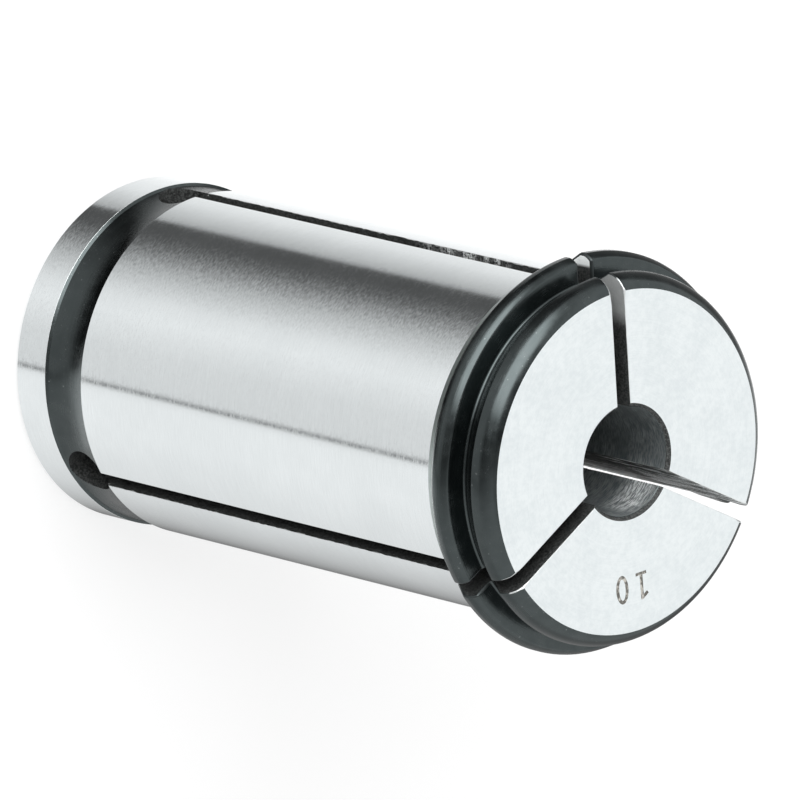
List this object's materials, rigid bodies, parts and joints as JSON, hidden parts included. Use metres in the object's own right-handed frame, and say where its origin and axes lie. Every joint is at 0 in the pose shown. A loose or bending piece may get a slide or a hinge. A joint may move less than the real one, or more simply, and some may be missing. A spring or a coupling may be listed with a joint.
{
  "type": "spring collet",
  "caption": "Straight-shank spring collet with a stepped through bore, lengthwise slots that end in a rear groove, a closed rear ring and a flanged nose.",
  "frame": {"origin": "centre of the rear face", "axes": "+Z along the axis towards the nose, +X through the middle of one slot"},
  "size_m": [0.0366, 0.0366, 0.0657],
  "materials": {
    "steel": "ground bright on ring, shank and nose face, black oxide on rear groove, flange, nose bead and bore"
  },
  "bodies": {
    "root": {"collet": "steel"}
  },
  "joints": []
}
